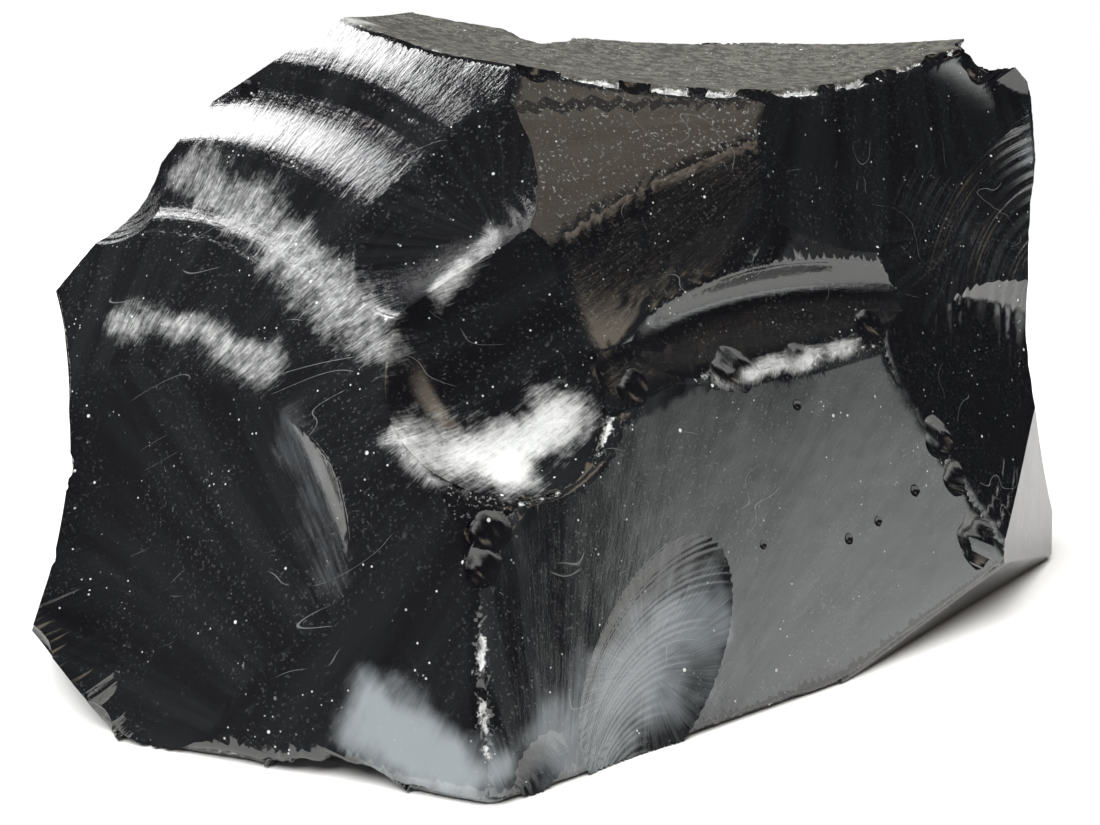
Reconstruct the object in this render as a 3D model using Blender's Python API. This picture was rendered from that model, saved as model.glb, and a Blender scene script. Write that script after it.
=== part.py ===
"""A rough chunk of black volcanic glass, broken on every side, as one solid.

The chunk is made the way such a stone really comes about: a blank block is broken again and again,
and every break takes away all that lies on its outer side.  A break is either flat or a shallow shell
(a conchoidal fracture).  Small scoops along the ridges are the chips that flew off the sharp edges.

Lengths below are in millimetres and are turned into metres where the mesh is made.  +Z is up, the chunk
stands on its flat underside at Z = 0, its long side runs along X and its broad front looks towards -Y.
"""
import math

import bmesh
import bpy
from mathutils import Vector
import numpy as np

MM = 0.001

# The point of the sketched numbers below that lies under the middle of the finished chunk.
SKETCH_CENTRE = np.array((2.9, 2.8, 0.0))

# The blank before it is broken: a little larger than the finished chunk on every side.
BLANK_SIZE = (240.0, 190.0, 140.0)
BLANK_CENTRE = (0.0, 2.0, 66.0)

# Reach of the cutters.
FLAT_REACH = 400.0  # half the width of the sheet of a flat break
RIM_HEIGHT = 14.0  # a shell-shaped sheet stops where its rim has climbed this far
LID_HEIGHT = 90.0  # how far a cutter stands out from its break
CELLS_PER_HALF = 6  # sheet cells from the middle of a shell to its rim
CHIP_SEGMENTS = 14
CHIP_RINGS = 8

# The colour of the glass: nearly black, and polished by the break itself.
GLASS_COLOUR = (0.012, 0.012, 0.014, 1.0)
GLASS_ROUGHNESS = 0.12


class Break:
    """One fracture.  `at` is a point on it, `facing` is (bearing, tilt) of its outward side in degrees.

    Bearing 0 looks at the front (-Y), 90 at the right (+X); tilt 90 looks straight up.  The sheet has its
    own axes u (to the right) and v (up), turned by `roll`.  Its height over the flat through `at` is
        bowl * (rho ** power - 1) + bend_u * (u/a)**2 + bend_v * (v/b)**2 + twist * (u/a) * (v/b)
    where (a, b) = half and rho**2 = (u/a)**2 + (v/b)**2.  A positive bowl is hollow.  `flutes` adds waves
    that run round a stem: (u, v) of its top end, spacing, height.
    """

    def __init__(
        self, name, at, facing, roll=0, half=(100, 100), bowl=0, power=2, bend=(0, 0, 0),
        flutes=None, cell=None
    ):
        self.name = name
        self.at = np.array(at, float) - SKETCH_CENTRE
        self.roll = roll
        self.half = half
        self.bowl = bowl
        self.power = power
        self.bend = bend
        self.flutes = flutes
        self.cell = cell
        self.u, self.v, self.n = axes_of(facing, roll)

    @property
    def is_flat(self):
        return self.bowl == 0 and not any(self.bend) and self.flutes is None

    def height(self, u, v):
        """Height of the broken surface over its flat, in millimetres, for whole arrays of u and v."""
        s = u / self.half[0]
        t = v / self.half[1]
        rho = np.sqrt(s * s + t * t)
        h = self.bowl * (rho ** self.power - 1.0)
        h = h + self.bend[0] * s * s + self.bend[1] * t * t + self.bend[2] * s * t
        if self.flutes is not None:
            top_u, top_v, spacing, size = self.flutes
            from_stem = np.hypot(u - top_u, np.maximum(v - top_v, 0.0))
            h = h + size * np.cos(2.0 * math.pi * from_stem / spacing)
        return h


def axes_of(facing, roll):
    """The two axes along a break and the one standing out of it."""
    bearing = math.radians(facing[0])
    tilt = math.radians(facing[1])
    out = np.array([math.sin(bearing) * math.cos(tilt), -math.cos(bearing) * math.cos(tilt), math.sin(tilt)])
    right = np.array([math.cos(bearing), math.sin(bearing), 0.0])
    up = np.cross(out, right)
    turn = math.radians(roll)
    along = math.cos(turn) * right + math.sin(turn) * up
    across = math.cos(turn) * up - math.sin(turn) * right
    return along, across, out


# The large flat breaks, trimmed first.
FLATS = (
    Break("underside", (0, 0, 0), (0, -90)),
    Break("upper_left_face", (-50, -14, 81), (-35, 38)),
    Break("right_face", (18, -47, 16), (35.5, 17.5)),
    Break("upper_right_face", (21, -7, 98.5), (22, 32)),
    Break("top_right_corner", (94, 51, 107), (60, 14)),
    Break("left_shoulder", (-69, 24, 110), (-107, 59)),
    Break("left_shoulder_low", (-99, 25, 89), (-86, 45)),
    Break("left_nose", (-106, -26, 21), (-80, -8)),
    Break("left_undercut", (-99, -36, 12), (-60, -32)),
    Break("front_left_undercut", (-74, -61, 2), (-36, -41)),
    Break("right_shoulder", (99, 60, 114), (101, 62)),
    Break("right_undercut", (96, 7, 15), (48, -32)),
    Break("back_right", (92, 68, 62), (138, 4)),
    Break("back_undercut", (10, 74, 10), (184, -38)),
    Break("back_rim", (4, 64, 119), (184, 48)),
    Break("back_bevel", (52, 75, 104), (163, 30)),
    Break("back_left_undercut", (-62, 56, 20), (226, -24)),
    Break("back_right_undercut", (88, 66, 22), (146, -26)),
)

# The shell-shaped breaks, cut in this order.
SHELLS = (
    Break("top", (42, 10, 117), (0, 90), half=(69, 60), bowl=8),
    Break("lower_left_bowl", (-64.6, -44.8, 31.5), (-36, 25.6), roll=44, half=(21.5, 50), bowl=2.7, power=4,
          bend=(-4, -1.2, 2.5)),
    Break("front_prow", (-15.8, -69.6, 19.7), (-19, 17.4), half=(60, 60), bend=(0, -2, 0)),
    Break("ledge", (-10, -52, 53), (-30, 40), roll=25, half=(23, 11), bowl=1.5, power=4),
    Break("ledge_wall", (-4, -35, 68), (-10, 20), roll=-12, half=(19, 18), bowl=2, power=6, bend=(-1, 2, -1)),
    Break("long_trough", (46, -6, 69), (31, 14), roll=6, half=(43, 9), bowl=3, power=4),
    Break("upper_trough", (32, -11, 77), (24, 20), roll=14, half=(38, 13), bowl=2, power=4, bend=(1, 2, 0)),
    Break("dark_shoulder", (60, 20.5, 99), (43, 20), half=(60, 22), bowl=1.5, power=8),
    Break("fluted_hollow", (79, 23, 76), (46, 12), roll=-14, half=(27, 24), bowl=3, power=4, bend=(1, 1, 0),
          flutes=(14, 8, 7, 0.7), cell=1.9),
    Break("right_end", (83, 0, 23), (50, 20), half=(60, 36), bowl=2, power=8),
    Break("ripple_flake", (-10, -26, 85), (-33, 36), roll=35, half=(13, 7), bowl=2),
    Break("shell_scar", (13, -52, 13), (36, 18), roll=46, half=(26, 14), bowl=1.6),
    Break("foot_scar", (-6, -69, 4.6), (35.5, 17.5), roll=30, half=(8, 5), bowl=0.9),
    Break("shoulder_scar", (-88.5, 18.4, 87), (-50, 32), half=(10, 9), bowl=2),
    Break("left_side", (-107, -5, 52), (-78, -5), half=(70, 34), bowl=7),
    Break("right_side", (108, 37, 57), (84, 3), half=(60, 40), bowl=5),
    Break("back", (14, 76, 66), (178, 6), half=(80, 60), bowl=6),
    Break("back_left", (-62, 50, 78), (222, 12), half=(50, 60), bowl=3),
    Break("back_bowl", (-6, 76, 74), (188, 4), roll=20, half=(36, 30), bowl=8),
    Break("back_flake", (44, 77, 36), (172, -8), roll=-28, half=(36, 20), bowl=6),
    Break("back_left_flake", (-64, 52, 46), (224, 4), roll=16, half=(24, 30), bowl=5),
)

# Chips off the sharp edges: name, centre of the scoop, radius.
CHIPS = (
    ("top_edge_chip_1", (-6, -10.5, 116.5), 7.5),
    ("top_edge_chip_2", (12, -4.5, 113), 6),
    ("top_edge_chip_3", (24, 0, 112), 5),
    ("top_edge_chip_4", (36, 3, 113), 8.5),
    ("top_edge_chip_5", (53, 18, 111.5), 5.5),
    ("ridge_lobe_1", (-10, -25, 101), 8),
    ("ridge_lobe_2", (-12, -26, 95), 6.5),
    ("corner_scallop_1", (68, 31, 116), 9.5),
    ("corner_scallop_2", (81, 44, 118), 7.5),
    ("corner_scallop_3", (96, 52, 117), 10),
    ("face_ridge_chip_1", (-13.5, -62, 43), 6.5),
    ("face_ridge_chip_2", (-2, -51.5, 53), 7.5),
    ("face_ridge_chip_3", (12.5, -39, 62), 8.5),
    ("face_ridge_chip_4", (31.5, -25, 62), 9),
    ("face_ridge_chip_5", (44, -14.5, 61.5), 6.5),
    ("face_ridge_chip_6", (61.5, -2.5, 66), 9),
    ("end_chip_1", (78, -0.5, 42), 9),
    ("end_chip_2", (80, -0.5, 32.5), 6),
    ("end_chip_3", (86, -4, 20), 9.5),
    ("prow_chip_1", (-15.5, -74.5, 21), 7.5),
    ("prow_chip_2", (-15, -65, 38), 4.5),
    ("left_chip_1", (-105.5, -15, 38), 8.5),
    ("left_chip_2", (-105.5, -27, 27), 8),
    ("left_chip_3", (-103, -43, 11), 8),
    ("left_chip_4", (-90, -54, -1), 9),
    ("shoulder_chip", (-69, 21, 111), 8),
    ("foot_arch", (-41, -69, -27), 30.5),
    ("rim_notch", (-6, 60, 127), 12),
)


# --- making ---


def collection(name):
    made = bpy.data.collections.new(name)
    bpy.context.scene.collection.children.link(made)
    return made


def reach_of(shell):
    """How far the sheet of a shell goes along u and v: until its rim has climbed RIM_HEIGHT."""
    if shell.bowl <= 0:
        return FLAT_REACH / 4.0, FLAT_REACH / 4.0
    grown = (1.0 + RIM_HEIGHT / shell.bowl) ** (1.0 / shell.power)
    return shell.half[0] * grown, shell.half[1] * grown


def cutter_mesh(shell):
    """A closed block whose inner side is the broken surface and whose outer side is a lid far off it."""
    reach_u, reach_v = reach_of(shell)
    cell_u = shell.cell or shell.half[0] / CELLS_PER_HALF
    cell_v = shell.cell or shell.half[1] / CELLS_PER_HALF
    cells_u = 2 * round(reach_u / cell_u)
    cells_v = 2 * round(reach_v / cell_v)
    bm = bmesh.new()
    bmesh.ops.create_grid(bm, x_segments=cells_u, y_segments=cells_v, size=1.0)
    grown = bmesh.ops.extrude_face_region(bm, geom=bm.faces[:])
    lid = {v for v in grown["geom"] if isinstance(v, bmesh.types.BMVert)}
    bm.verts.ensure_lookup_table()
    along = np.array([v.co.x for v in bm.verts]) * reach_u
    across = np.array([v.co.y for v in bm.verts]) * reach_v
    rise = np.minimum(shell.height(along, across), RIM_HEIGHT + 1.0)
    rise = np.where([v in lid for v in bm.verts], LID_HEIGHT, rise)
    places = shell.at + along[:, None] * shell.u + across[:, None] * shell.v + rise[:, None] * shell.n
    for vert, place in zip(bm.verts, places):
        vert.co = place
    return bm


def chip_mesh(centre, radius):
    bm = bmesh.new()
    bmesh.ops.create_uvsphere(bm, u_segments=CHIP_SEGMENTS, v_segments=CHIP_RINGS, radius=radius)
    bmesh.ops.translate(bm, verts=bm.verts[:], vec=Vector(np.array(centre) - SKETCH_CENTRE))
    return bm


def finish_mesh(bm, name):
    """Normals outward, flat faces, and an object of that name."""
    bmesh.ops.recalc_face_normals(bm, faces=bm.faces[:])
    if bm.calc_volume(signed=True) < 0:
        bmesh.ops.reverse_faces(bm, faces=bm.faces[:])
    mesh = bpy.data.meshes.new(name)
    bm.to_mesh(mesh)
    bm.free()
    obj = bpy.data.objects.new(name, mesh)
    obj.scale = (MM, MM, MM)
    return obj


def blank_mesh():
    """The blank block, trimmed by every flat break."""
    bm = bmesh.new()
    bmesh.ops.create_cube(bm, size=1.0)
    bmesh.ops.scale(bm, verts=bm.verts[:], vec=Vector(BLANK_SIZE))
    bmesh.ops.translate(bm, verts=bm.verts[:], vec=Vector(BLANK_CENTRE))
    for flat in FLATS:
        everything = bm.verts[:] + bm.edges[:] + bm.faces[:]
        cut = bmesh.ops.bisect_plane(
            bm, geom=everything, plane_co=Vector(flat.at), plane_no=Vector(flat.n), clear_outer=True
        )
        rim = [e for e in cut["geom_cut"] if isinstance(e, bmesh.types.BMEdge)]
        bmesh.ops.contextual_create(bm, geom=rim)
    return bm


def glass():
    material = bpy.data.materials.new("volcanic_glass")
    material.use_nodes = True
    shader = material.node_tree.nodes["Principled BSDF"]
    shader.inputs["Base Color"].default_value = GLASS_COLOUR
    shader.inputs["Roughness"].default_value = GLASS_ROUGHNESS
    return material


def cut_with(chunk, cutter):
    modifier = chunk.modifiers.new("cut_" + cutter.name, "BOOLEAN")
    modifier.operation = "DIFFERENCE"
    modifier.solver = "MANIFOLD"
    modifier.object = cutter


def main():
    for obj in list(bpy.data.objects):
        bpy.data.objects.remove(obj)
    stones = collection("obsidian_chunk")
    cutters = collection("breaks_and_chips")
    cutters.hide_render = True
    chunk = finish_mesh(blank_mesh(), "chunk")
    chunk.data.materials.append(glass())
    stones.objects.link(chunk)
    made = [finish_mesh(cutter_mesh(shell), shell.name) for shell in SHELLS]
    made += [finish_mesh(chip_mesh(centre, radius), name) for name, centre, radius in CHIPS]
    for cutter in made:
        cutter.hide_render = True
        cutter.display_type = "WIRE"
        cutters.objects.link(cutter)
        cut_with(chunk, cutter)
    chunk.modifiers.new("triangles", "TRIANGULATE")


main()
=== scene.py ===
"""A rough chunk of obsidian on a pale table: the finished stone over its plain solid.

The stone is one closed skin.  Every break in the glass is a formula, the solid lies below all of them, and
the skin is found by going out from the middle of the stone in every direction until the first break is met.
"""
import math

import bpy
import numpy as np
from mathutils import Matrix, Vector


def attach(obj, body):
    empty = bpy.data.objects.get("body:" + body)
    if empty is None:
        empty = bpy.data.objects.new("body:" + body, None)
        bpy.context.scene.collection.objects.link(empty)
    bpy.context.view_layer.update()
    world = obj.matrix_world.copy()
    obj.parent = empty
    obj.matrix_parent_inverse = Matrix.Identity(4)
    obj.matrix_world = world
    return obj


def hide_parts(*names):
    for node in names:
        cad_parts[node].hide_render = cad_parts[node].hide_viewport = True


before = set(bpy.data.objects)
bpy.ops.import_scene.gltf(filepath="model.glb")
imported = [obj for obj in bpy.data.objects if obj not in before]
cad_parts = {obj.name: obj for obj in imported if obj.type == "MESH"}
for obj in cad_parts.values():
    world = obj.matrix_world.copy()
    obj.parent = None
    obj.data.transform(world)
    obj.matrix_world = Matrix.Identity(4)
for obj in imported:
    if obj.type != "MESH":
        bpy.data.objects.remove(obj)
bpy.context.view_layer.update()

MM = 0.001
TURN = 2.0 * math.pi

# The tables below are in sketched millimetres.  This point of them lies under the middle of the finished stone.
SKETCH_CENTRE = np.array((2.9, 2.8, 0.0))
# Where the directions start from, inside the stone.
HEART = np.array((-2.0, 2.0, 52.0))
FAR_OUT = 175.0
STEEPEST = 30.0  # a break's rim never climbs further than this over its flat, in millimetres
SCOOP_RIPPLE = 1.7  # spacing of the ripples in a chip's bed, in millimetres

# The longest edge of the skin in millimetres: usually, on a crushed edge, what that gains behind the stone,
# and across a crease.
USUAL_MESH = 3.2
CRUSHED_MESH = 0.84
BEHIND_GAIN = 0.9
CREASE_MESH = 1.5
FIRST_CELLS = 26  # cells along each side of the cube that the skin starts from


# --- noise for whole arrays of points ---


def scrambled(cell, seed):
    """One number from 0 to 1 for each whole-number cell: its three numbers mixed by multiplying and shifting."""
    key = cell.astype(np.int64)
    mixed = key[..., 0] * 73856093 ^ key[..., 1] * 19349663 ^ key[..., 2] * 83492791 ^ seed * 2654435761
    mixed = mixed & 0xFFFFFFFF
    mixed = ((mixed ^ (mixed >> 15)) * 2246822519) & 0xFFFFFFFF
    mixed = ((mixed ^ (mixed >> 13)) * 3266489917) & 0xFFFFFFFF
    return ((mixed ^ (mixed >> 16)) & 0xFFFFFF) / float(0xFFFFFF)


def lumps(points, size, seed=0):
    """Smooth noise from 0 to 1: random values at the corners of cubes of that size, blended across each cube."""
    place = points / size
    corner = np.floor(place)
    part = place - corner
    part = part * part * (3.0 - 2.0 * part)
    total = 0.0
    for dx in (0, 1):
        for dy in (0, 1):
            for dz in (0, 1):
                share = (part[..., 0] if dx else 1 - part[..., 0]) * (part[..., 1] if dy else 1 - part[..., 1])
                share = share * (part[..., 2] if dz else 1 - part[..., 2])
                total = total + share * scrambled(corner + (dx, dy, dz), seed)
    return total


def scallops(points, size, seed=0):
    """Square of the distance to the nearest of one random point per cube, in cubes, 1 at most: rounded pits."""
    place = points / size
    home = np.floor(place)
    nearest = np.full(place.shape[:-1], 9.0)
    for dx in (-1, 0, 1):
        for dy in (-1, 0, 1):
            for dz in (-1, 0, 1):
                cell = home + (dx, dy, dz)
                spot = np.stack([scrambled(cell, seed + k) for k in (1, 2, 3)], axis=-1)
                nearest = np.minimum(nearest, ((cell + spot - place) ** 2).sum(axis=-1))
    return np.minimum(nearest, 1.0)


def ramp(value, low, high):
    """0 below low, 1 above high, and a smooth climb between."""
    share = np.clip((value - low) / (high - low), 0.0, 1.0)
    return share * share * (3.0 - 2.0 * share)


# --- the breaks ---


def axes_of(facing, roll):
    """The two axes along a break and the one standing out of it, from its bearing and tilt in degrees."""
    bearing = math.radians(facing[0])
    tilt = math.radians(facing[1])
    out = np.array([math.sin(bearing) * math.cos(tilt), -math.cos(bearing) * math.cos(tilt), math.sin(tilt)])
    right = np.array([math.cos(bearing), math.sin(bearing), 0.0])
    up = np.cross(out, right)
    turn = math.radians(roll)
    along = math.cos(turn) * right + math.sin(turn) * up
    across = math.cos(turn) * up - math.sin(turn) * right
    return along, across, out


class Rings:
    """Waves that run out from a point of a break, as ripples do: size * cos(turns of the distance over spacing).

    With x, y the offset from the centre turned by `turn` degrees, the distance is hypot(x, stretch * y).  As
    loops it is that squared over x, so that every ring touches the centre.  The waves rise from `near` and
    die at `far`.  `uneven` swings the spacing slowly, with sines of the distance.
    """

    def __init__(
        self, centre, spacing, size, near=0.0, far=200.0, stretch=1.0, phase=0.0, turn=0.0, loops=False, uneven=0.0
    ):
        self.centre = centre
        self.spacing = spacing
        self.size = size
        self.near = near
        self.far = far
        self.stretch = stretch
        self.phase = phase
        self.turn = math.radians(turn)
        self.loops = loops
        self.uneven = uneven

    def __call__(self, u, v):
        u = u - self.centre[0]
        v = v - self.centre[1]
        x = u * math.cos(self.turn) + v * math.sin(self.turn)
        y = self.stretch * (v * math.cos(self.turn) - u * math.sin(self.turn))
        away = np.hypot(x, y)
        if self.loops:
            away = np.minimum(away * away / np.maximum(x, 0.5), 999.0)
        fade = ramp(away, self.near - 0.5 * self.spacing, self.near + 0.5 * self.spacing)
        fade = fade * (1.0 - ramp(away, self.far - 0.5 * self.spacing, self.far + 0.5 * self.spacing))
        turns = away / self.spacing - self.phase
        if self.uneven:
            swing = np.sin(1.9 * turns + 0.7) + 0.8 * np.sin(0.83 * turns + 2.0)
            fade = fade * (0.65 + 0.35 * np.sin(1.37 * turns + 1.0))
            turns = turns + self.uneven * swing
        return self.size * fade * np.cos(TURN * turns)


class Break:
    """One fracture, flat or shell-shaped.  `at` is a point on it, `facing` the (bearing, tilt) of its outside.

    Height over the flat through `at`, with s = u / half[0], t = v / half[1] and rho**2 = s**2 + t**2:
        bowl * (rho**power - 1) + bend[0] * s**2 + bend[1] * t**2 + bend[2] * s * t + the waves
    `start` is the (u, v) where the crack began, which the fine grain runs away from.
    """

    def __init__(
        self, name, at, facing, roll=0, half=(100, 100), bowl=0, power=2, bend=(0, 0, 0),
        waves=(), start=(0, 0), mesh=None, look="polished"
    ):
        self.name = name
        self.at = np.array(at, float) - SKETCH_CENTRE
        self.half = half
        self.bowl = bowl
        self.power = power
        self.bend = bend
        self.waves = waves
        self.start = start
        self.mesh = mesh
        self.look = look
        self.along, self.across, self.out = axes_of(facing, roll)

    def spread(self, points):
        """The (u, v) of points along the break."""
        offset = points - self.at
        return offset @ self.along, offset @ self.across

    def value(self, points):
        """How far points lie outside the break, in millimetres: below 0 they are in the glass."""
        outside = (points - self.at) @ self.out
        if not (self.bowl or any(self.bend) or self.waves):
            return outside
        u, v = self.spread(points)
        s = u / self.half[0]
        t = v / self.half[1]
        height = self.bend[0] * s * s + self.bend[1] * t * t + self.bend[2] * s * t
        if self.bowl:
            height = height + self.bowl * (np.minimum(s * s + t * t, 16.0) ** (0.5 * self.power) - 1.0)
        height = np.minimum(height, STEEPEST)
        for wave in self.waves:
            height = height + wave(u, v)
        return outside - height


class Scoop:
    """A chip with a ball-shaped bed: the radius less the distance from the centre, made uneven by sines.

    The sines of the offset, slow in x and z and in y and z, are 3.5% of the radius high, 0.35 mm at most,
    and a ripple 0.03 mm high runs across them.
    """

    def __init__(self, name, at, radius, look="polished"):
        self.name = name
        self.at = np.array(at, float) - SKETCH_CENTRE
        self.radius = radius
        self.out = self.at / np.linalg.norm(self.at)
        self.start = (0, 0)
        self.mesh = min(1.6, 0.16 * radius)
        self.look = look

    def spread(self, points):
        """The (x, z) of points from the centre."""
        offset = points - self.at
        return offset[..., 0], offset[..., 2]

    def value(self, points):
        """How far points lie inside the bed, in millimetres: below 0 they are in the glass."""
        offset = points - self.at
        x, y, z = offset[..., 0], offset[..., 1], offset[..., 2]
        away = np.sqrt(x * x + y * y + z * z)
        knobs = np.sin(0.95 * x + 1.3 * z + self.at[0]) + np.sin(1.15 * y - 0.8 * z + self.at[1])
        knob_height = min(0.035 * self.radius, 0.35)
        ripple = np.cos(TURN * (x + 0.6 * z + 0.3 * away) / SCOOP_RIPPLE)
        return self.radius + knob_height * knobs - away + 0.03 * ripple


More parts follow.
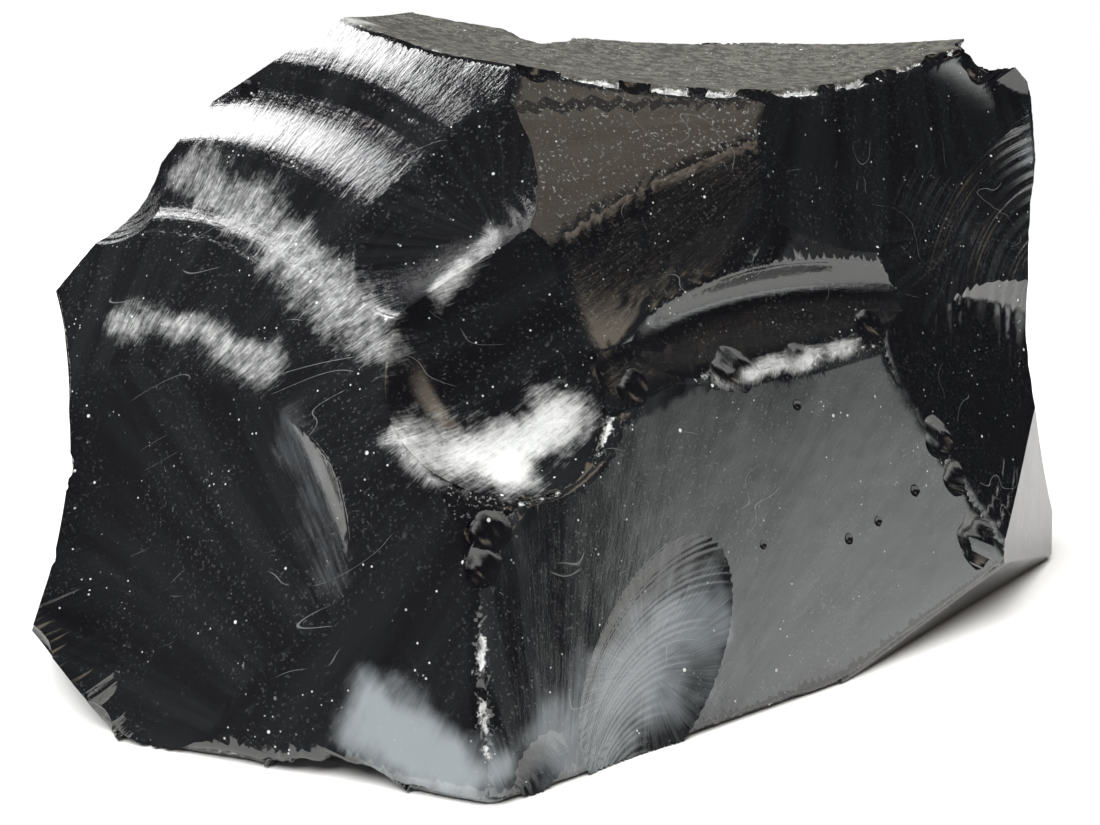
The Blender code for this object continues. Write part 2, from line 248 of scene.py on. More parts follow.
# First the flat breaks that trim the block, then the shell-shaped ones, then the small chips along the ridges.
BREAKS = [
    Break("underside", (0, 0, 0), (0, -90), mesh=5, look="satin"),
    Break("upper_left_face", (-50, -14, 81), (-35, 38), mesh=1.9, look="brushed",
          waves=(Rings((-36, -80), 22.5, 0.42, near=48, far=150, phase=0.462, uneven=0.03),
                 Rings((-36, -80), 6.1, 0.035, near=40, far=150, uneven=0.3)), start=(-36, -80)),
    Break("right_face", (18, -47, 16), (35.5, 17.5), look="flowing", start=(-35, -40)),
    Break("upper_right_face", (21, -7, 98.5), (22, 32), look="frosted", start=(60, 10)),
    Break("top_right_corner", (111.4, 51, 45), (60, 9.5), look="satin"),
    Break("left_shoulder", (-69, 24, 110), (-107, 59), look="polished"),
    Break("left_shoulder_low", (-99, 25, 89), (-86, 45), look="polished"),
    Break("left_nose", (-106, -26, 21), (-80, -8), look="satin"),
    Break("left_undercut", (-99, -36, 12), (-60, -32), look="satin"),
    Break("front_left_undercut", (-74, -61, 2), (-36, -41), look="satin"),
    Break("right_shoulder", (99, 60, 114), (101, 62), look="satin"),
    Break("right_undercut", (96, 7, 15), (48, -32), look="satin"),
    Break("back_right", (95, 71.5, 62), (138, -1), look="satin", mesh=3.6,
          waves=(Rings((-60, 20), 8.0, 0.14, near=16, uneven=0.2),)),
    Break("back_undercut", (10, 74, 10), (184, -38), look="satin", mesh=3.6,
          waves=(Rings((60, -40), 9.0, 0.15, near=16, uneven=0.2),)),
    Break("back_rim", (4, 64, 119), (184, 48), look="satin", mesh=3.6),
    Break("back_bevel", (52, 75, 104), (167, 30), look="satin", mesh=3.6),
    Break("back_left_undercut", (-62, 56, 20), (226, -24), look="satin", mesh=3.6),
    Break("back_right_undercut", (88, 66, 22), (146, -26), look="satin", mesh=3.6),
    Break("top", (42, 10, 117), (0, 90), half=(69, 60), bowl=8, look="weathered"),
    Break("lower_left_bowl", (-64.6, -44.8, 31.5), (-36, 25.6), roll=44, half=(21.5, 50), bowl=2.7, power=4,
          bend=(-4, -1.2, 2.5), look="dark", start=(20, -60)),
    Break("front_prow", (-15.8, -69.6, 19.7), (-19, 17.4), half=(60, 60), bend=(0, -2, 0), look="dark", start=(30, 90)),
    Break("ledge", (-15.6, -53.4, 51.5), (16, 36), roll=22, half=(30, 16), bowl=1.0, power=6, look="grainy"),
    Break("ledge_wall", (-4, -35.6, 68), (-4, 24), roll=-12, half=(23, 21), bowl=1.4, power=6, look="dark",
          start=(60, 60)),
    Break("long_trough", (43.2, -10.2, 65.1), (34, 36), half=(41, 10.5), bowl=2.0, power=8, look="brushed",
          start=(80, 0)),
    Break("ridge_band", (11, -34.6, 61.2), (31.4, 30), roll=12, half=(31, 7.5), bowl=1.0, power=6, look="brushed",
          start=(-60, -10)),
    Break("upper_trough", (30.6, -10.7, 91.1), (25, 24), roll=14, half=(62, 25), bowl=3.4, power=4, look="brushed",
          waves=(Rings((-4, -2), 2.8, 0.10, near=15, far=33, stretch=1.2, uneven=0.12),), start=(60, 20)),
    Break("dark_shoulder", (60, 20.5, 99), (43, 20), half=(50, 22), bowl=1.5, power=8, look="dark",
          start=(40, 90)),
    Break("fluted_hollow", (88, 35.7, 77), (41, 20), roll=20, half=(31, 27), bowl=1.2, power=6,
          waves=(Rings((20, -26), 3.9, 0.19, far=90, stretch=1.5, uneven=0.12),), mesh=0.88, look="dark"),
    Break("right_end", (83, 0, 23), (50, 25), half=(62, 40), bowl=0.7, power=8, look="polished",
          waves=(Rings((-8, 46), 5.1, 0.1, near=14, uneven=0.2),)),
    Break("ripple_flake", (-14, -27, 85), (-32, 45), roll=35, half=(15, 8), bowl=1.0, look="brushed",
          waves=(Rings((-14, 0), 3.4, 0.12, near=9, uneven=0.1),), mesh=0.85),
    Break("shell_scar", (13, -52, 13), (36, 18), roll=46, half=(26, 14), bowl=1.6, mesh=0.62, look="silky",
          waves=(Rings((-30, -7), 2.0, 0.040, near=8, stretch=1.35, turn=-12, loops=True, uneven=0.12),)),
    Break("foot_scar", (-6, -69, 4.6), (35.5, 17.5), roll=30, half=(8, 5), bowl=0.9, mesh=0.5,
          waves=(Rings((-8, 0), 1.7, 0.05),)),
    Break("shoulder_scar", (-88.5, 18.4, 87), (-50, 32), half=(10, 9), bowl=2, mesh=0.7,
          waves=(Rings((-9, 5), 2.2, 0.08),), look="brushed"),
    Break("left_side", (-107, -5, 52), (-78, -5), half=(70, 34), bowl=7, look="dark",
          waves=(Rings((50, 50), 7.0, 0.12, near=16, uneven=0.2),)),
    Break("right_side", (108, 37, 57), (84, 3), half=(60, 40), bowl=5, look="satin",
          waves=(Rings((-50, -50), 7.0, 0.12, near=16, uneven=0.2),)),
    Break("back", (14, 76, 66), (178, 6), half=(80, 60), bowl=6, look="satin", mesh=3.4,
          waves=(Rings((-70, -50), 8.0, 0.16, near=20, uneven=0.2),)),
    Break("back_left", (-62, 50, 78), (222, 12), half=(50, 60), bowl=3, look="satin", mesh=3.4,
          waves=(Rings((40, -60), 7.0, 0.13, near=16, uneven=0.2),)),
    Break("back_bowl", (-6, 76, 74), (188, 4), roll=20, half=(36, 30), bowl=8, look="satin", mesh=2.4,
          waves=(Rings((-30, -34), 5.2, 0.10, near=10, uneven=0.15),)),
    Break("back_flake", (44, 77, 36), (172, -8), roll=-28, half=(36, 20), bowl=6, look="satin", mesh=2.4,
          waves=(Rings((34, 4), 4.6, 0.10, near=8, uneven=0.15),)),
    Break("back_left_flake", (-64, 52, 46), (224, 4), roll=16, half=(24, 30), bowl=5, look="satin", mesh=2.4,
          waves=(Rings((0, -34), 4.6, 0.10, near=8, uneven=0.15),)),
    Scoop("top_edge_chip_1", (-6, -10.5, 116.5), 5.6),
    Scoop("top_edge_chip_2", (12, -4.5, 113), 4.4),
    Scoop("top_edge_chip_3", (24, 0, 112), 3.6),
    Scoop("top_edge_chip_4", (36, 3, 113), 6.4),
    Scoop("top_edge_chip_5", (53, 18, 111.5), 4.2),
    Scoop("ridge_lobe_1", (-10, -25, 101), 6.6),
    Scoop("ridge_lobe_2", (-12, -26, 95), 5.2),
    Scoop("corner_scallop_1", (68, 31, 116), 8),
    Scoop("corner_scallop_2", (81, 44, 118), 6.2),
    Scoop("corner_scallop_3", (96, 52, 117), 10),
    Scoop("face_ridge_chip_1", (-13.5, -62, 43), 5),
    Scoop("face_ridge_chip_2", (-2, -51.5, 53), 5.6),
    Scoop("face_ridge_chip_3", (12.5, -39, 62), 6.2),
    Scoop("face_ridge_chip_4", (31.5, -25, 62), 7),
    Scoop("face_ridge_chip_5", (44, -14.5, 61.5), 4.6),
    Scoop("face_ridge_chip_6", (61.5, -2.5, 66), 7),
    Scoop("end_chip_1", (78, -0.5, 42), 7.4),
    Scoop("end_chip_2", (80, -0.5, 32.5), 5),
    Scoop("end_chip_3", (86, -4, 20), 7.6),
    Scoop("prow_chip_1", (-15.5, -74.5, 21), 5.6),
    Scoop("prow_chip_2", (-15, -65, 38), 4.5),
    Scoop("left_chip_1", (-105.5, -15, 38), 8.5),
    Scoop("left_chip_2", (-105.5, -27, 27), 8),
    Scoop("left_chip_3", (-103, -43, 11), 8),
    Scoop("left_chip_4", (-90, -54, -1), 9),
    Scoop("shoulder_chip", (-69, 21, 111), 5.5),
    Scoop("pit_1", (42.3, -16.8, 51.7), 1.3),
    Scoop("pit_2", (34.8, -31.1, 28.7), 1.2),
    Scoop("pit_3", (53.1, -19.2, 25.6), 1.4),
    Scoop("pit_4", (59.8, -13.8, 27.3), 1.3),
    Scoop("pit_5", (68.6, -6.0, 31.2), 1.5),
    Scoop("foot_arch", (-41, -69, -27), 30.5, look="satin"),
    Scoop("rim_notch", (-6, 60, 127), 12, look="weathered"),
]
NUMBER = {one.name: k for k, one in enumerate(BREAKS)}

# Edges that aren't knife-sharp: two breaks, how far from the edge they blend in millimetres, and how crushed.
# The blend width is that distance times the difference of the two outward directions, 0.3 at least.
EDGES = (
    ("front_prow", "ledge", 12.0, 0.0),
    ("front_prow", "upper_left_face", 5.0, 0.0),
    ("ledge", "upper_left_face", 6.0, 0.0),
    ("ledge", "ledge_wall", 10.0, 0.0),
    ("ledge_wall", "upper_trough", 6.0, 0.0),
    ("ledge_wall", "upper_left_face", 1.6, 0.5),
    ("upper_left_face", "ripple_flake", 1.4, 0.7),
    ("upper_right_face", "upper_trough", 1.3, 1.6),
    ("right_face", "ridge_band", 2.8, 1.3),
    ("ridge_band", "ledge_wall", 5.0, 0.0),
    ("ridge_band", "ledge", 5.0, 0.0),
    ("ridge_band", "upper_trough", 3.0, 0.0),
    ("ridge_band", "long_trough", 3.0, 0.0),
    ("upper_right_face", "dark_shoulder", 1.2, 0.5),
    ("lower_left_bowl", "upper_left_face", 1.4, 0.6),
    ("lower_left_bowl", "front_prow", 1.6, 0.4),
    ("upper_left_face", "upper_right_face", 1.4, 0.8),
    ("upper_trough", "long_trough", 5.0, 0.0),
    ("ledge_wall", "long_trough", 5.0, 0.0),
    ("top", "upper_right_face", 2.6, 1.7),
    ("top", "dark_shoulder", 2.2, 1.6),
    ("top", "upper_left_face", 1.4, 1.2),
    ("right_face", "front_prow", 2.6, 1.2),
    ("right_face", "ledge_wall", 2.8, 1.4),
    ("right_face", "ledge", 2.6, 1.3),
    ("right_face", "long_trough", 4.5, 1.5),
    ("right_face", "upper_trough", 4.5, 1.5),
    ("right_face", "right_end", 2.4, 1.2),
    ("right_face", "fluted_hollow", 2.4, 1.2),
    ("right_face", "underside", 1.2, 0.8),
    ("right_face", "right_undercut", 1.2, 0.8),
    ("front_prow", "underside", 1.8, 1.0),
    ("front_prow", "foot_arch", 1.8, 1.0),
    ("front_prow", "front_left_undercut", 1.8, 1.0),
    ("lower_left_bowl", "front_left_undercut", 1.8, 1.0),
    ("lower_left_bowl", "left_undercut", 1.8, 1.0),
    ("upper_left_face", "left_side", 1.2, 0.8),
    ("top", "back_rim", 2.2, 1.0),
    ("top", "rim_notch", 2.2, 1.0),
    ("top", "right_shoulder", 1.8, 1.0),
)
LARGE_PIT = 3.1  # width of the larger pits of a crushed edge in millimetres, then of the smaller ones
SMALL_PIT = 1.15
CRUSHED_STRETCH = 11.0  # an edge is crushed in stretches about this long

BLEND = np.zeros((len(BREAKS), len(BREAKS)))
CRUSH = np.zeros((len(BREAKS), len(BREAKS)))
for first, second, width, crushed in EDGES:
    pair = ([NUMBER[first], NUMBER[second]], [NUMBER[second], NUMBER[first]])
    BLEND[pair] = width * max(0.3, np.linalg.norm(BREAKS[pair[0][0]].out - BREAKS[pair[0][1]].out))
    CRUSH[pair] = crushed


# Places of painted highlight with some white powder, and of painted reflection: the attribute, the points of a
# line in sketched numbers, the reach in millimetres and the strength.
STROKES = (
    # Painted highlights: the white strokes on the ledge, across the upper left face, on the ripple flake and at the top
    # left stand in for reflected light; the thin stroke along the chipped ridge is crushed powder.
    ("dusty", ((-23.5, -49, 56), (-19, -48, 54), (-12, -46, 53), (-6, -43, 55)), 12.0, 1.05),
    ("dusty", ((-78.6, 16.9, 92.4), (-61.2, -1.5, 85.7), (-44.9, -23.2, 74.9), (-35.5, -36.5, 68)), 10.0, 0.46),
    ("dusty", ((-91, -0.9, 64.8), (-71.2, -13.8, 65.5), (-55.5, -28.8, 61.3)), 7.0, 0.5),
    ("dusty", ((-24, -30.5, 77), (-20, -28, 82), (-16, -26, 86)), 4.5, 0.62),
    ("dusty", ((-62, 30, 122.5), (-52, 25, 121.5), (-44, 24, 120.5)), 8.0, 0.62),
    ("dusty", ((26.8, -24.1, 58.9), (42, -13, 59.6), (56, -3.3, 60.5)), 3.2, 0.75),
    # The hazy strokes below paint a pale blue-grey reflection into the glass's colour.
    ("hazy", ((102, 52, 107), (106, 55, 97)), 10.0, 0.42),
    ("hazy", ((-34, -65, 12), (-24, -70, 7), (-18, -73, 4)), 11.0, 1.0),
    ("hazy", ((-2, -62, 8), (9, -54, 11), (20, -45, 18)), 17.0, 0.62),
    ("hazy", ((-50, -38, 52), (-44, -47, 42), (-42, -53, 33)), 9.0, 0.30),
)


def strokes_at(points, attribute):
    """Strength at every point: that of the nearest stroke, fading to 0 at its reach, with an uneven outline.

    The distance to the stroke is changed by up to 0.45 of the reach either way, by noise in lumps of 7 and 3 mm.
    """
    found = np.zeros(len(points))
    uneven = 0.6 * lumps(points, 7.0, 31) + 0.4 * lumps(points, 3.0, 37) - 0.5
    for name, line, reach_mm, strength in STROKES:
        if name != attribute:
            continue
        line = np.array(line, float) - SKETCH_CENTRE
        for start, stop in zip(line[:-1], line[1:]):
            along = stop - start
            share = np.clip((points - start) @ along / (along @ along), 0.0, 1.0)
            away = np.linalg.norm(points - start - share[:, None] * along, axis=1)
            away = away + 0.9 * reach_mm * uneven
            fade = 1.0 - ramp(away, 0.1 * reach_mm, 1.05 * reach_mm)
            found = np.maximum(found, strength * fade)
    return found


def values_at(points):
    """How far every point lies outside every break: one row for each break."""
    return np.stack([one.value(points) for one in BREAKS])


def wear_at(points, values, owner):
    """(depth, crushed) of the edge wear at points that belong to the breaks `owner`.

    The wear is a quarter of the blend width times the square of (1 - gap / width), summed over the edges of
    the owner, where the gap is how much further in the other break lies.  A crushed edge adds rounded pits.
    """
    own = values[owner, np.arange(len(owner))]
    smooth = np.zeros(len(owner))
    rough = np.zeros(len(owner))
    for other in np.flatnonzero(BLEND.any(axis=0)):
        width = BLEND[owner, other]
        gap = own - values[other]
        share = np.where(width > 0, 1.0 - gap / np.maximum(width, 1e-6), 0.0)
        share = np.clip(share, 0.0, 1.25) ** 2 * 0.25 * width
        smooth += share
        rough += share * CRUSH[owner, other]
    depth = smooth.copy()
    spots = np.flatnonzero(rough > 1e-4)
    if len(spots):
        near = points[spots]
        stretch = ramp(lumps(near, CRUSHED_STRETCH, 5), 0.3, 0.7)
        rough[spots] *= 0.15 + stretch
        pits = 1.5 - 1.5 * scallops(near, LARGE_PIT, 11) + 0.9 - 1.1 * scallops(near, SMALL_PIT, 23)
        depth[spots] += rough[spots] * pits * 0.75
    return depth, rough


def stone_value(points, owner=None):
    """Outside distance of the whole stone, or of the one break that owns each point, with the edge wear."""
    values = values_at(points)
    if owner is None:
        owner = values.argmax(axis=0)
    depth, _ = wear_at(points, values, owner)
    return values[owner, np.arange(len(owner))] + depth


# --- the skin ---


def cube_grid(cells):
    """Directions and triangles of a ball: a grid on each side of a cube, evened out by the tangent of its angle.

    On a side with axes a, b and outward c, a point is tan(45 deg * x) * a + tan(45 deg * y) * b + c for x and y
    from -1 to 1.
    """
    steps = np.tan(np.linspace(-0.25 * math.pi, 0.25 * math.pi, cells + 1))
    x, y = np.meshgrid(steps, steps, indexing="ij")
    places = []
    quads = []
    count = (cells + 1) ** 2
    corner = np.arange(count).reshape(cells + 1, cells + 1)
    square = np.stack([corner[:-1, :-1], corner[1:, :-1], corner[1:, 1:], corner[:-1, 1:]], axis=-1).reshape(-1, 4)
    for side in range(6):
        a, b = np.roll(np.eye(3), side % 3, axis=0)[:2]
        c = np.cross(a, b)
        if side >= 3:
            a, b, c = b, a, -c
        places.append((x[..., None] * a + y[..., None] * b + c).reshape(-1, 3))
        quads.append(square + side * count)
    places = np.concatenate(places)
    quads = np.concatenate(quads)
    _, first, index = np.unique(np.round(places, 6), axis=0, return_index=True, return_inverse=True)
    quads = index.reshape(-1)[quads]
    directions = places[first]
    directions /= np.linalg.norm(directions, axis=1)[:, None]
    return directions, np.concatenate([quads[:, [0, 1, 2]], quads[:, [0, 2, 3]]])


def reach(directions, low, high, rounds):
    """Distance from the heart to the skin along each direction, by halving between low and high."""
    low = low.copy()
    high = high.copy()
    for _ in range(rounds):
        middle = 0.5 * (low + high)
        inside = stone_value(HEART + middle[:, None] * directions) < 0
        low = np.where(inside, middle, low)
        high = np.where(inside, high, middle)
    return 0.5 * (low + high)


def on_skin(points, slack):
    """The points of the skin in the directions of the given points, which lie within about `slack` of it."""
    offset = points - HEART
    distance = np.linalg.norm(offset, axis=1)
    directions = offset / distance[:, None]
    low = distance - slack
    high = distance + slack
    bad = stone_value(HEART + low[:, None] * directions) > 0
    low[bad] = 1.0
    bad = stone_value(HEART + high[:, None] * directions) < 0
    high[bad] = FAR_OUT
    found = reach(directions, low, high, 13)
    wide = np.flatnonzero((high - low) > 3 * slack)
    if len(wide):
        found[wide] = reach(directions[wide], low[wide], high[wide], 26)
    return HEART + found[:, None] * directions


def edges_of(triangles):
    """(ends of each edge, the three edges of each triangle)."""
    ends = np.concatenate([triangles[:, [0, 1]], triangles[:, [1, 2]], triangles[:, [2, 0]]])
    ends.sort(axis=1)
    ends, index = np.unique(ends, axis=0, return_inverse=True)
    return ends, index.reshape(3, -1).T


MESH_SIZE = np.array([one.mesh or USUAL_MESH for one in BREAKS])


def wanted_length(points):
    """The longest edge the skin may have at each point: short on crushed edges and in rippled scars."""
    values = values_at(points)
    owner = values.argmax(axis=0)
    _, rough = wear_at(points, values, owner)
    length = MESH_SIZE[owner]
    behind = ramp(points[:, 1], 30.0, 60.0) * ramp(60.0 - points[:, 0], 0.0, 30.0)
    crushed_length = CRUSHED_MESH + BEHIND_GAIN * behind
    return np.where(rough > 0.02, np.minimum(length, crushed_length), length), owner


def refine(points, triangles, rounds):
    """Splits every edge that is longer than wanted, and with it the longest edge of each triangle it touches."""
    for _ in range(rounds):
        ends, sides = edges_of(triangles)
        first, second = points[ends[:, 0]], points[ends[:, 1]]
        length = np.linalg.norm(first - second, axis=1)
        wanted, _ = wanted_length(0.5 * (first + second))
        owner = values_at(points).argmax(axis=0)
        crossing = owner[ends[:, 0]] != owner[ends[:, 1]]
        wanted = np.where(crossing, np.minimum(wanted, CREASE_MESH), wanted)
        split = length > wanted
        longest = sides[np.arange(len(sides)), length[sides].argmax(axis=1)]
        for _ in range(4):
            split[longest[split[sides].any(axis=1)]] = True
        if not split.any():
            break
        number = np.full(len(ends), -1)
        number[split] = len(points) + np.arange(split.sum())
        fresh = on_skin(0.5 * (first + second)[split], 1.5)
        points = np.concatenate([points, fresh])
        triangles = cut_up(triangles, number[sides])
    return points, triangles


def cut_up(triangles, middle):
    """New triangles, where middle holds the point in the middle of each side or -1 where that side stays whole."""
    parts = []
    has = middle >= 0
    kind = has.sum(axis=1)
    parts.append(triangles[kind == 0])
    for turn in range(3):
        order = [turn, (turn + 1) % 3, (turn + 2) % 3]
        t = triangles[:, order]
        m = middle[:, order]
        h = has[:, order]
        one = (kind == 1) & h[:, 0]
        a, b, c, ab = t[one, 0], t[one, 1], t[one, 2], m[one, 0]
        parts += [np.stack([a, ab, c], 1), np.stack([ab, b, c], 1)]
        two = (kind == 2) & h[:, 0] & h[:, 1]
        a, b, c, ab, bc = t[two, 0], t[two, 1], t[two, 2], m[two, 0], m[two, 1]
        parts += [np.stack([ab, b, bc], 1), np.stack([a, ab, bc], 1), np.stack([a, bc, c], 1)]
    three = kind == 3
    a, b, c = triangles[three].T
    ab, bc, ca = middle[three].T
    parts += [np.stack([a, ab, ca], 1), np.stack([ab, b, bc], 1), np.stack([ca, bc, c], 1), np.stack([ab, bc, ca], 1)]
    return np.concatenate(parts)


def cut_at_creases(points, triangles):
    """Cuts triangles whose corners lie on different breaks along the crease, and says which break owns each."""
    owner = values_at(points).argmax(axis=0)
    ends, sides = edges_of(triangles)
    crossed = np.flatnonzero(owner[ends[:, 0]] != owner[ends[:, 1]])
    start, stop = points[ends[crossed, 0]], points[ends[crossed, 1]]
    own, other = owner[ends[crossed, 0]], owner[ends[crossed, 1]]
    low, high = np.zeros(len(crossed)), np.ones(len(crossed))
    spots = np.arange(len(crossed))
    for _ in range(12):
        middle = 0.5 * (low + high)
        values = values_at(start + middle[:, None] * (stop - start))
        before = values[own, spots] > values[other, spots]
        low = np.where(before, middle, low)
        high = np.where(before, high, middle)
    share = np.clip(0.5 * (low + high), 0.03, 0.97)
    number = np.full(len(ends), -1)
    number[crossed] = len(points) + spots
    points = np.concatenate([points, on_skin(start + share[:, None] * (stop - start), 1.0)])
    middle = number[sides]
    kind = (middle >= 0).sum(axis=1)
    parts = [triangles[kind == 0]]
    owners = [owner[triangles[kind == 0, 0]]]
    for turn in range(3):
        order = [turn, (turn + 1) % 3, (turn + 2) % 3]
        pick = (kind == 2) & (middle[:, order[1]] < 0)
        a, b, c = triangles[pick][:, order].T
        ab, _, ca = middle[pick][:, order].T
        parts += [np.stack([a, ab, ca], 1), np.stack([ab, b, c], 1), np.stack([ab, c, ca], 1)]
        owners += [owner[a], owner[b], owner[b]]
    pick = kind == 3
    a, b, c = triangles[pick].T
    ab, bc, ca = middle[pick].T
    heart = len(points) + np.arange(pick.sum())
    points = np.concatenate([points, on_skin((points[ab] + points[bc] + points[ca]) / 3.0, 1.0)])
    for corner, out_edge, in_edge in ((a, ab, ca), (b, bc, ab), (c, ca, bc)):
        parts += [np.stack([corner, out_edge, heart], 1), np.stack([corner, heart, in_edge], 1)]
        owners += [owner[corner], owner[corner]]
    return points, np.concatenate(parts), np.concatenate(owners)


def slopes(points, owner):
    """Outward direction of the worn break `owner` at each point, from its value a little either way."""
    step = 0.03
    normal = np.empty_like(points)
    for axis in range(3):
        shift = np.zeros(3)
        shift[axis] = step
        normal[:, axis] = stone_value(points + shift, owner) - stone_value(points - shift, owner)
    return normal / np.linalg.norm(normal, axis=1)[:, None]


FLOW_UNIT = 100.0  # millimetres of running crack to one unit of the flow map
WHITE_DEPTH = 0.8  # millimetres of crushing that turn an edge fully white

LOOKS = {
    # name: roughness, brushed grain, fine speckle, weathering, painted sheen (a grey film in bands that stands in for
    # reflected light)
    "polished": (0.07, 0.25, 0.15, 0.0, 0.0),
    "dark": (0.09, 0.45, 0.15, 0.0, 0.10),
    "satin": (0.14, 0.4, 0.3, 0.0, 0.1),
    "brushed": (0.13, 1.0, 0.20, 0.0, 0.10),
    "flowing": (0.15, 0.25, 0.25, 0.0, 0.30),
    "silky": (0.24, 0.1, 0.2, 0.0, 0.6),
    "frosted": (0.34, 0.5, 1.0, 0.0, 0.2),
    "grainy": (0.15, 0.3, 1.0, 0.0, 0.0),
    "weathered": (0.6, 0.2, 1.0, 1.0, 0.0),
}


def add_numbers(mesh, name, domain, values):
    """Keeps one number for each face or point of the mesh, for its material to read."""
    attribute = mesh.attributes.new(name, "FLOAT", domain)
    attribute.data.foreach_set("value", np.ascontiguousarray(values, np.float32))


def stone():
    """The finished skin as one object, with the numbers its material reads.

    Its map `flow` gives the distance from where the crack of each break began, in tenths of a metre, and the
    angle round that place, so that grain and waves follow the way the crack ran.
    """
    directions, triangles = cube_grid(FIRST_CELLS)
    low = np.full(len(directions), 5.0)
    points = HEART + reach(directions, low, low + FAR_OUT - 5.0, 30)[:, None] * directions
    points, triangles = refine(points, triangles, 7)
    points, triangles, owner = cut_at_creases(points, triangles)
    corners = triangles.reshape(-1)
    corner_owner = np.repeat(owner, 3)
    key, back = np.unique(corners.astype(np.int64) * len(BREAKS) + corner_owner, return_inverse=True)
    spot, owned = points[key // len(BREAKS)], key % len(BREAKS)
    normal = slopes(spot, owned)[back]
    flow = np.zeros((len(key), 2))
    for number, one in enumerate(BREAKS):
        mine = owned == number
        u, v = one.spread(spot[mine])
        flow[mine, 0] = np.hypot(u - one.start[0], v - one.start[1]) / FLOW_UNIT
        flow[mine, 1] = np.arctan2(v - one.start[1], u - one.start[0])
    values = values_at(points)
    _, rough = wear_at(points, values, values.argmax(axis=0))
    mesh = bpy.data.meshes.new("finished_stone")
    mesh.from_pydata((points * MM).tolist(), [], triangles.tolist())
    looks = np.array([LOOKS[one.look] for one in BREAKS])[owner]
    for column, name in enumerate(("roughness", "brushed", "speckle", "weathered", "haze")):
        add_numbers(mesh, name, "FACE", looks[:, column])
    add_numbers(mesh, "crushed", "POINT", np.clip(rough / WHITE_DEPTH, 0.0, 1.0))
    for name in ("dusty", "hazy"):
        add_numbers(mesh, name, "POINT", strokes_at(points, name))
    flow_map = mesh.uv_layers.new(name="flow")
    flow_map.data.foreach_set("uv", flow[back].astype(np.float32).reshape(-1))
    mesh.shade_smooth()
    mesh.normals_split_custom_set(normal.tolist())
    made = bpy.data.objects.new("finished_stone", mesh)
    bpy.context.scene.collection.objects.link(made)
    print("skin", len(points), "points", len(triangles), "triangles")
    return made


# --- shader maths ---


class Value:
    """The output of a shader node.  + - * / and ** on it add Math nodes."""

    def __init__(self, paint, socket):
        self.paint = paint
        self.socket = socket

    def maths(self, operation, first, second):
        return self.paint.node("ShaderNodeMath", {"operation": operation}, {0: first, 1: second})

    def __add__(self, other):
        return self.maths("ADD", self, other)

    def __radd__(self, other):
        return self.maths("ADD", other, self)

    def __sub__(self, other):
        return self.maths("SUBTRACT", self, other)

    def __rsub__(self, other):
        return self.maths("SUBTRACT", other, self)

    def __mul__(self, other):
        return self.maths("MULTIPLY", self, other)

    def __rmul__(self, other):
        return self.maths("MULTIPLY", other, self)

    def __truediv__(self, other):
        return self.maths("DIVIDE", self, other)

    def __pow__(self, other):
        return self.maths("POWER", self, other)


class Paint:
    """Adds the nodes of one material or world."""

    def __init__(self, tree):
        self.tree = tree

    def node(self, kind, settings=None, sockets=None, out=0):
        """One node: its settings first, then the values or links of its sockets.  Returns the output asked for."""
        made = self.tree.nodes.new(kind)
        for name, value in (settings or {}).items():
            if name == "stops":
                made.color_ramp.elements[0].position, made.color_ramp.elements[0].color = value[0]
                made.color_ramp.elements[1].position, made.color_ramp.elements[1].color = value[1]
                for position, colour in value[2:]:
                    made.color_ramp.elements.new(position).color = colour
            else:
                setattr(made, name, value)
        for name, value in (sockets or {}).items():
            self.feed(made.inputs[name], value)
        return Value(self, made.outputs[out])

    def feed(self, socket, value):
        """Links a socket, or sets it where the value is a plain number or colour."""
        if isinstance(value, Value):
            self.tree.links.new(value.socket, socket)
        else:
            socket.default_value = value

    def number(self, name):
        """An attribute of the mesh."""
        return self.node("ShaderNodeAttribute", {"attribute_name": name}, out="Fac")

    def step(self, value, low, high, first=0.0, last=1.0):
        """A smooth climb from `first` at low to `last` at high."""
        return self.node(
            "ShaderNodeMapRange", {"interpolation_type": "SMOOTHSTEP"}, {0: value, 1: low, 2: high, 3: first, 4: last}
        )

    def colours(self, share, first, second):
        """The first colour at share 0, the second at 1."""
        return self.node(
            "ShaderNodeMix", {"data_type": "RGBA"}, {"Factor": share, 6: first, 7: second}, out=2
        )

    def noise(self, place, scale, detail=3.0, roughness=0.55):
        """Cloudy noise about 0.5, with `scale` clouds to a unit of the place."""
        return self.node(
            "ShaderNodeTexNoise", {}, {"Vector": place, "Scale": scale, "Detail": detail, "Roughness": roughness}
        )

    def greater(self, first, second):
        """The greater of the two."""
        return first.maths("MAXIMUM", first, second)

    def vector(self, x, y, z):
        """The vector of three values."""
        return self.node("ShaderNodeCombineXYZ", {}, {0: x, 1: y, 2: z})

    def dot(self, vector, fixed):
        """The dot product with a fixed vector."""
        return self.node("ShaderNodeVectorMath", {"operation": "DOT_PRODUCT"}, {0: vector, 1: fixed}, out="Value")


GLASS_BLACK = (0.005, 0.005, 0.006, 1.0)
PAINTED_SHEEN_GREY = (0.060, 0.066, 0.066, 1.0)
WEATHERED_GREY = (0.115, 0.112, 0.098, 1.0)
WEATHERED_DARK = (0.055, 0.054, 0.047, 1.0)
PAINTED_REFLECTION_BLUE = (0.26, 0.285, 0.30, 1.0)
POWDER_AND_HIGHLIGHT_WHITE = (0.64, 0.65, 0.64, 1.0)


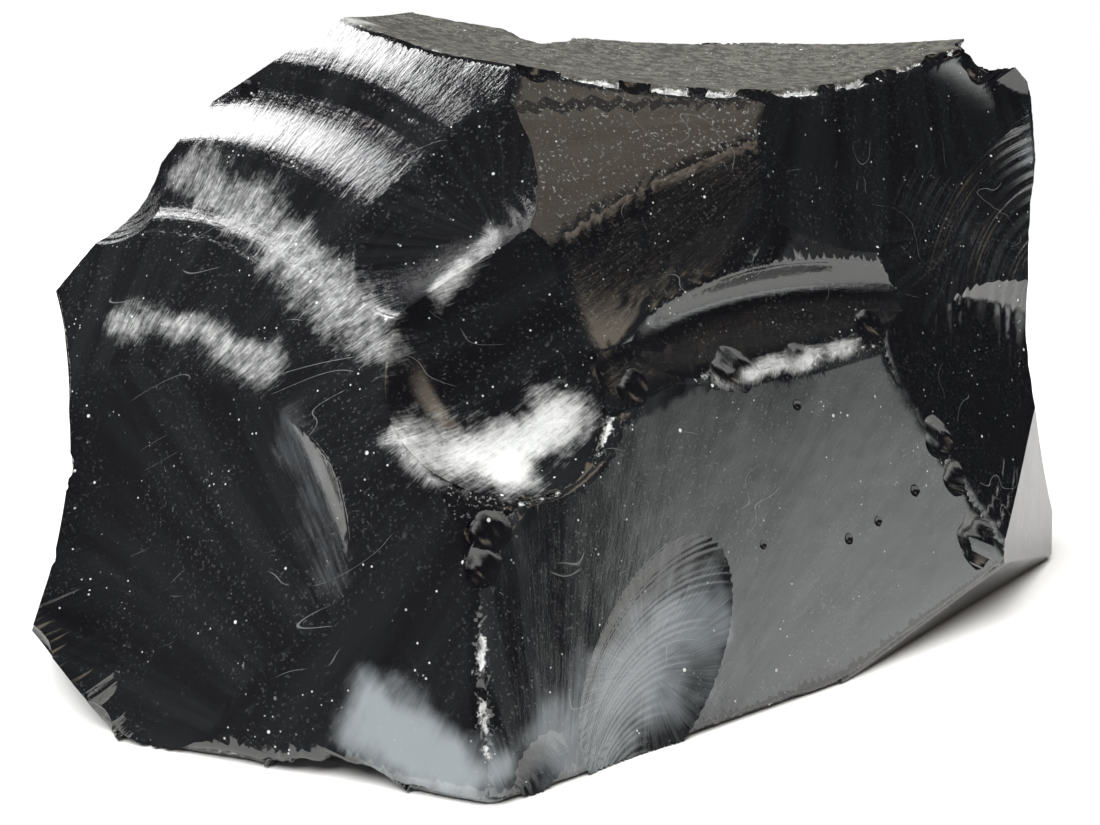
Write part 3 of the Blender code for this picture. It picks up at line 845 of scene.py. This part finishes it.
def obsidian():
    """Black glass that is brushed, frosted, weathered or crushed to a pale powder where the skin says so, with painted
    sheen, reflections, highlights and glints in its colour.
    """
    material = bpy.data.materials.new("obsidian")
    material.use_nodes = True
    shader = material.node_tree.nodes["Principled BSDF"]
    paint = Paint(material.node_tree)
    place = paint.node("ShaderNodeTexCoord", out="Object")
    flow = paint.node("ShaderNodeUVMap", {"uv_map": "flow"})
    away = paint.node("ShaderNodeSeparateXYZ", {}, {0: flow}, out=0)
    around = paint.node("ShaderNodeSeparateXYZ", {}, {0: flow}, out=1)
    brushed, speckle = paint.number("brushed"), paint.number("speckle")
    weathered, crushed = paint.number("weathered"), paint.number("crushed")
    haze, dusty, hazy = paint.number("haze"), paint.number("dusty"), paint.number("hazy")

    # Grain that runs with the crack: broad rays, fine rays and slow ripples across them.
    rays = paint.noise(paint.vector(away * 9.0, around * 46.0, 0.0), 1.0, 5.0, 0.66)
    fine_rays = paint.noise(paint.vector(away * 40.0, around * 260.0, 3.0), 1.0, 3.0, 0.6)
    ripples = paint.noise(paint.vector(away * 170.0, around * 2.0, 7.0), 1.0, 2.0, 0.5)
    # Grain that lies in the stone, from slow swells down to fine grains.
    swells = paint.noise(place, 42.0, 3.0, 0.5)
    cloud = paint.noise(place, 60.0, 3.0, 0.5)
    coarse = paint.noise(place, 420.0, 4.0, 0.65)
    powder_spots = paint.noise(place, 520.0, 5.0, 0.75)
    grit = paint.noise(place, 850.0, 3.0, 0.6)
    grain = paint.noise(place, 2600.0, 2.0, 0.6)

    # White: powder on crushed edges and as specks, crumbs and scratches, painted highlights in the strokes and painted
    # glints as fine sparkle.
    powder_and_painted_highlight = paint.step(crushed * 0.85 + (powder_spots - 0.5) * 2.6, 0.42, 0.80)
    streaks = (powder_spots - 0.5) * 0.7 + (fine_rays - 0.5) * 0.6 + (rays - 0.5) * 0.7
    # Painted highlights: white in the strokes stands in for reflected light; the stroke along the chipped ridge is real
    # powder.
    painted_highlight_and_dust = paint.step(dusty + streaks, 0.12, 1.15)
    # Painted glints: sparse white specks in the colour stand in for sparkle off the fine grain.
    painted_glint = paint.step(paint.noise(place, 1500.0, 1.0), 0.60, 0.72)
    painted_glint = painted_glint * speckle * paint.step(cloud, 0.35, 0.6)
    specks = paint.node("ShaderNodeTexVoronoi", {}, {"Vector": place, "Scale": 210.0})
    speck = paint.step(specks, 0.05, 0.09, 1.0, 0.0) * paint.step(paint.noise(place, 75.0, 1.0), 0.56, 0.60)
    crumbs = paint.node("ShaderNodeTexVoronoi", {}, {"Vector": place, "Scale": 560.0})
    crumb = paint.step(crumbs, 0.06, 0.14, 1.0, 0.0) * paint.step(paint.noise(place, 130.0, 2.0), 0.54, 0.60)
    turned = paint.vector(
        paint.dot(place, (21.0, 14.0, -9.0)), paint.dot(place, (-7.0, 26.0, 34.0)), paint.dot(place, (5.0, -4.0, 6.0))
    )
    line = paint.noise(turned, 1.6, 1.0)
    scratch = paint.step(paint.greater(line - 0.52, 0.52 - line), 0.0003, 0.0016, 1.0, 0.0)
    scratch = scratch * paint.step(paint.noise(place, 55.0, 2.0), 0.56, 0.62)
    marks = paint.greater(paint.greater(speck, crumb * 0.8), paint.greater(scratch * 0.2, painted_glint * 0.28))
    # From here the mask holds the crushed powder, the white marks, the painted highlights and the painted glints.
    powder_and_painted_highlight = paint.greater(paint.greater(powder_and_painted_highlight, painted_highlight_and_dust), marks)

    # Colour: black glass, a painted grey sheen in bands, a painted blue-grey reflection in its strokes, weathered grey,
    # then the powder with the painted highlights and glints.
    stone_grey = paint.colours(paint.step(coarse, 0.4, 0.62), WEATHERED_DARK, WEATHERED_GREY)
    # Painted sheen: grey colour in bands along the crack stands in for light reflected off the faces.
    bands = paint.noise(paint.vector(away * 1.2, around * 11.0, 5.0), 1.0, 4.0, 0.6)
    colour = paint.colours(haze * paint.step(bands, 0.38, 0.68), GLASS_BLACK, PAINTED_SHEEN_GREY)
    # Painted reflection: pale blue-grey in the strokes stands in for light mirrored in the glass.
    painted_reflection_share = paint.step(hazy + (rays - 0.5) * 0.5 + (cloud - 0.5) * 0.3, 0.12, 0.95)
    colour = paint.colours(painted_reflection_share, colour, PAINTED_REFLECTION_BLUE)
    colour = paint.colours(weathered, colour, stone_grey)
    colour = paint.colours(powder_and_painted_highlight, colour, POWDER_AND_HIGHLIGHT_WHITE)
    paint.feed(shader.inputs["Base Color"], colour)

    rough = paint.number("roughness") + (cloud - 0.5) * 0.06 + (rays - 0.5) * brushed * 0.10
    rough = rough + powder_and_painted_highlight * 0.5
    paint.feed(shader.inputs["Roughness"], paint.step(rough, -0.02, 0.95, 0.02, 0.9))

    # Relief in millimetres.
    height = (rays - 0.5) * brushed * 0.075 + (fine_rays - 0.5) * brushed * 0.016
    height = height + (swells - 0.5) * 0.35 + (ripples - 0.5) * (brushed + 0.2) * 0.010
    height = height + (grit - 0.5) * brushed * 0.030 + (grain - 0.5) * speckle * 0.030
    height = height + (coarse - 0.5) * (weathered * 0.25 + powder_and_painted_highlight * 0.3)
    bump = paint.node("ShaderNodeBump", {}, {"Strength": 1.0, "Distance": MM, "Height": height})
    paint.feed(shader.inputs["Normal"], bump)
    shader.inputs["IOR"].default_value = 1.5
    shader.inputs["Specular IOR Level"].default_value = 0.95
    return material


# --- the studio ---

TABLE_RADIUS = 0.62
TABLE_GAP = 0.0001  # the floor lies this far under the stone, in metres
SPOKES = 64


def table_top():
    """The pale floor: a disc whose points are (radius * cos, radius * sin) of an angle, on rings and spokes."""
    radii = np.array([0.12, 0.24, 0.36, 0.48, TABLE_RADIUS])
    angles = np.linspace(0.0, TURN, SPOKES + 1)[:-1]
    radius, angle = np.meshgrid(radii, angles, indexing="ij")
    depth = np.full_like(radius, -TABLE_GAP)
    ring = np.stack([radius * np.cos(angle), radius * np.sin(angle), depth], -1).reshape(-1, 3)
    points = np.concatenate([[(0.0, 0.0, -TABLE_GAP)], ring])
    spoke = np.arange(SPOKES)
    after = (spoke + 1) % SPOKES
    faces = [np.stack([np.zeros(SPOKES, int), 1 + spoke, 1 + after], 1).tolist()]
    for ring_number in range(len(radii) - 1):
        inner = 1 + SPOKES * ring_number
        outer = inner + SPOKES
        faces.append(np.stack([inner + spoke, outer + spoke, outer + after, inner + after], 1).tolist())
    mesh = bpy.data.meshes.new("table_top")
    mesh.from_pydata(points.tolist(), [], [face for group in faces for face in group])
    floor = bpy.data.objects.new("table_top", mesh)
    bpy.context.scene.collection.objects.link(floor)
    material = bpy.data.materials.new("pale_paper")
    material.use_nodes = True
    shader = material.node_tree.nodes["Principled BSDF"]
    shader.inputs["Base Color"].default_value = (0.82, 0.815, 0.80, 1.0)
    shader.inputs["Roughness"].default_value = 0.7
    mesh.materials.append(material)


def sun(name, direction, strength, width, glossy=True):
    """A soft lamp whose light comes from that direction, `width` degrees across."""
    lamp = bpy.data.lights.new(name, "SUN")
    lamp.energy = strength
    lamp.angle = math.radians(width)
    made = bpy.data.objects.new(name, lamp)
    made.visible_glossy = glossy
    bpy.context.scene.collection.objects.link(made)
    made.rotation_euler = Vector(direction).to_track_quat("Z", "Y").to_euler()


def surroundings():
    """A dim room: a bright card low on the right, a warm patch high up, and white behind the table.

    `high` is the sine of the height and `bearing` is in radians from the back wall round by the right.  The
    card is 2.4, falling to 0 as `high` goes from -0.03 to 0.33, and sooner past a bearing of 1.87, times its
    climb over the bearings from 1.30 to 1.72.  The warm patch lies between the heights 0.58 and 0.93.
    """
    world = bpy.data.worlds.new("studio")
    bpy.context.scene.world = world
    world.use_nodes = True
    paint = Paint(world.node_tree)
    toward = paint.node("ShaderNodeTexCoord", out="Generated")
    east = paint.dot(toward, (1.0, 0.0, 0.0))
    north = paint.dot(toward, (0.0, 1.0, 0.0))
    high = paint.dot(toward, (0.0, 0.0, 1.0))
    bearing = east.maths("ARCTAN2", east, north)
    raised = high + paint.greater(bearing - 1.87, 0.0) * 3.0
    card = paint.step(raised, -0.03, 0.33, 2.4, 0.0)
    card = card * paint.step(bearing, 1.30, 1.72) * paint.step(high, -0.16, -0.02)
    warm = paint.step(high, 0.58, 0.80, 0.0, 1.6) * paint.step(high, 0.84, 0.93, 1.0, 0.0)
    warm = warm * paint.step(bearing, 1.30, 1.85) * paint.step(bearing, 2.15, 2.45, 1.0, 0.0)
    left = paint.step(paint.dot(toward, (-0.85, -0.40, 0.25)), 0.5, 0.9, 0.0, 0.05)
    glow = paint.vector(
        0.022 + card * 0.98 + warm + left, 0.024 + card + warm * 0.84 + left, 0.027 + card * 0.99 + warm * 0.66 + left
    )
    seen = paint.node("ShaderNodeLightPath", out="Is Camera Ray")
    colour = paint.colours(seen, glow, (1.0, 1.0, 1.0, 1.0))
    background = world.node_tree.nodes["Background"]
    paint.feed(background.inputs["Color"], colour)


def studio():
    """The lamps, the room and the camera."""
    sun("key_light", (-0.62, 0.37, 0.69), 0.8, 18.0)
    sun("table_light", (-0.25, -0.15, 0.95), 6.3, 70.0, glossy=False)
    surroundings()
    scene = bpy.context.scene
    scene.view_settings.view_transform = "Standard"
    eye = bpy.data.cameras.new("eye")
    eye.sensor_width = 36.0
    eye.lens = 49.09
    eye.clip_start = 0.01
    eye.clip_end = 60.0
    camera = bpy.data.objects.new("eye", eye)
    scene.collection.objects.link(camera)
    camera.location = (-0.0079, -0.2948, 0.1239)
    camera.rotation_euler = (math.radians(75.0), 0.0, 0.0)
    scene.camera = camera


studio()
table_top()
finished = stone()
finished.data.materials.append(obsidian())
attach(finished, "root")
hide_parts("chunk")
